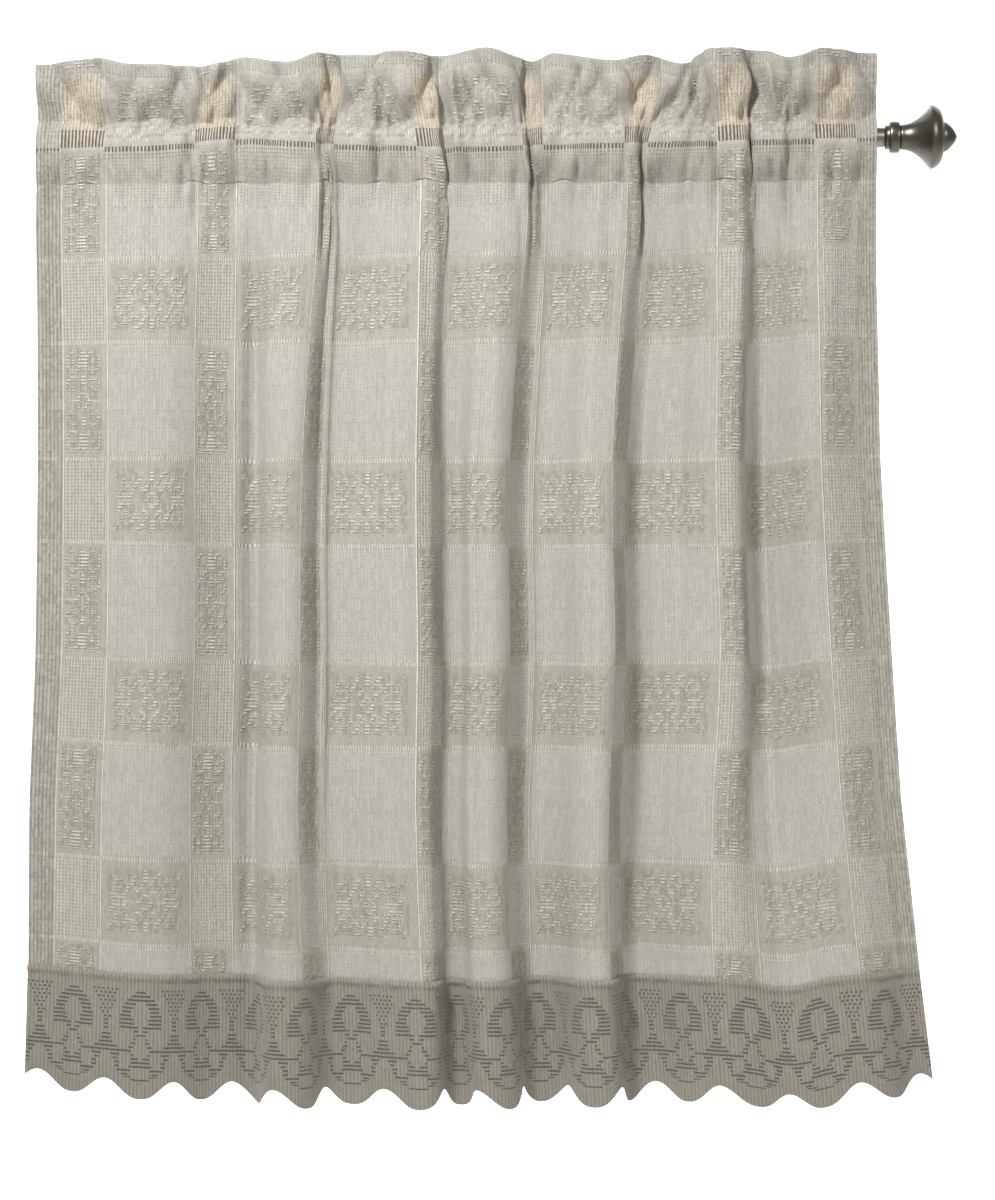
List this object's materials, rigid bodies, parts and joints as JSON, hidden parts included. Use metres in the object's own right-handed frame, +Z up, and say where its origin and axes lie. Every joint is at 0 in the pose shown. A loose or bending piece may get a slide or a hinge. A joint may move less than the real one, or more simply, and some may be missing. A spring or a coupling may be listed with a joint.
{
  "type": "cafe curtain on rod",
  "caption": "Short tier of check-pattern lace gathered on a slim metal rod, with a standing heading, a scalloped lace edging and a turned finial at the rod's right end.",
  "frame": {"origin": "on the rod's axis, at the middle of the gathered heading", "axes": "+X to the right along the rod, towards the finial, as seen from the room; -Y towards the room; +Z up"},
  "size_m": [0.5389, 0.049, 0.6128],
  "materials": {
    "check_lace": "warp-knitted check lace, ecru",
    "edging_lace": "warp-knitted scalloped lace, taupe ecru",
    "rod_metal": "satin nickel plate on steel tube",
    "finial_metal": "satin nickel plate on a turned casting"
  },
  "bodies": {
    "root": {"panel": "check_lace", "edging": "edging_lace", "rod": "rod_metal", "finial_collar": "finial_metal", "finial": "finial_metal"}
  },
  "joints": []
}
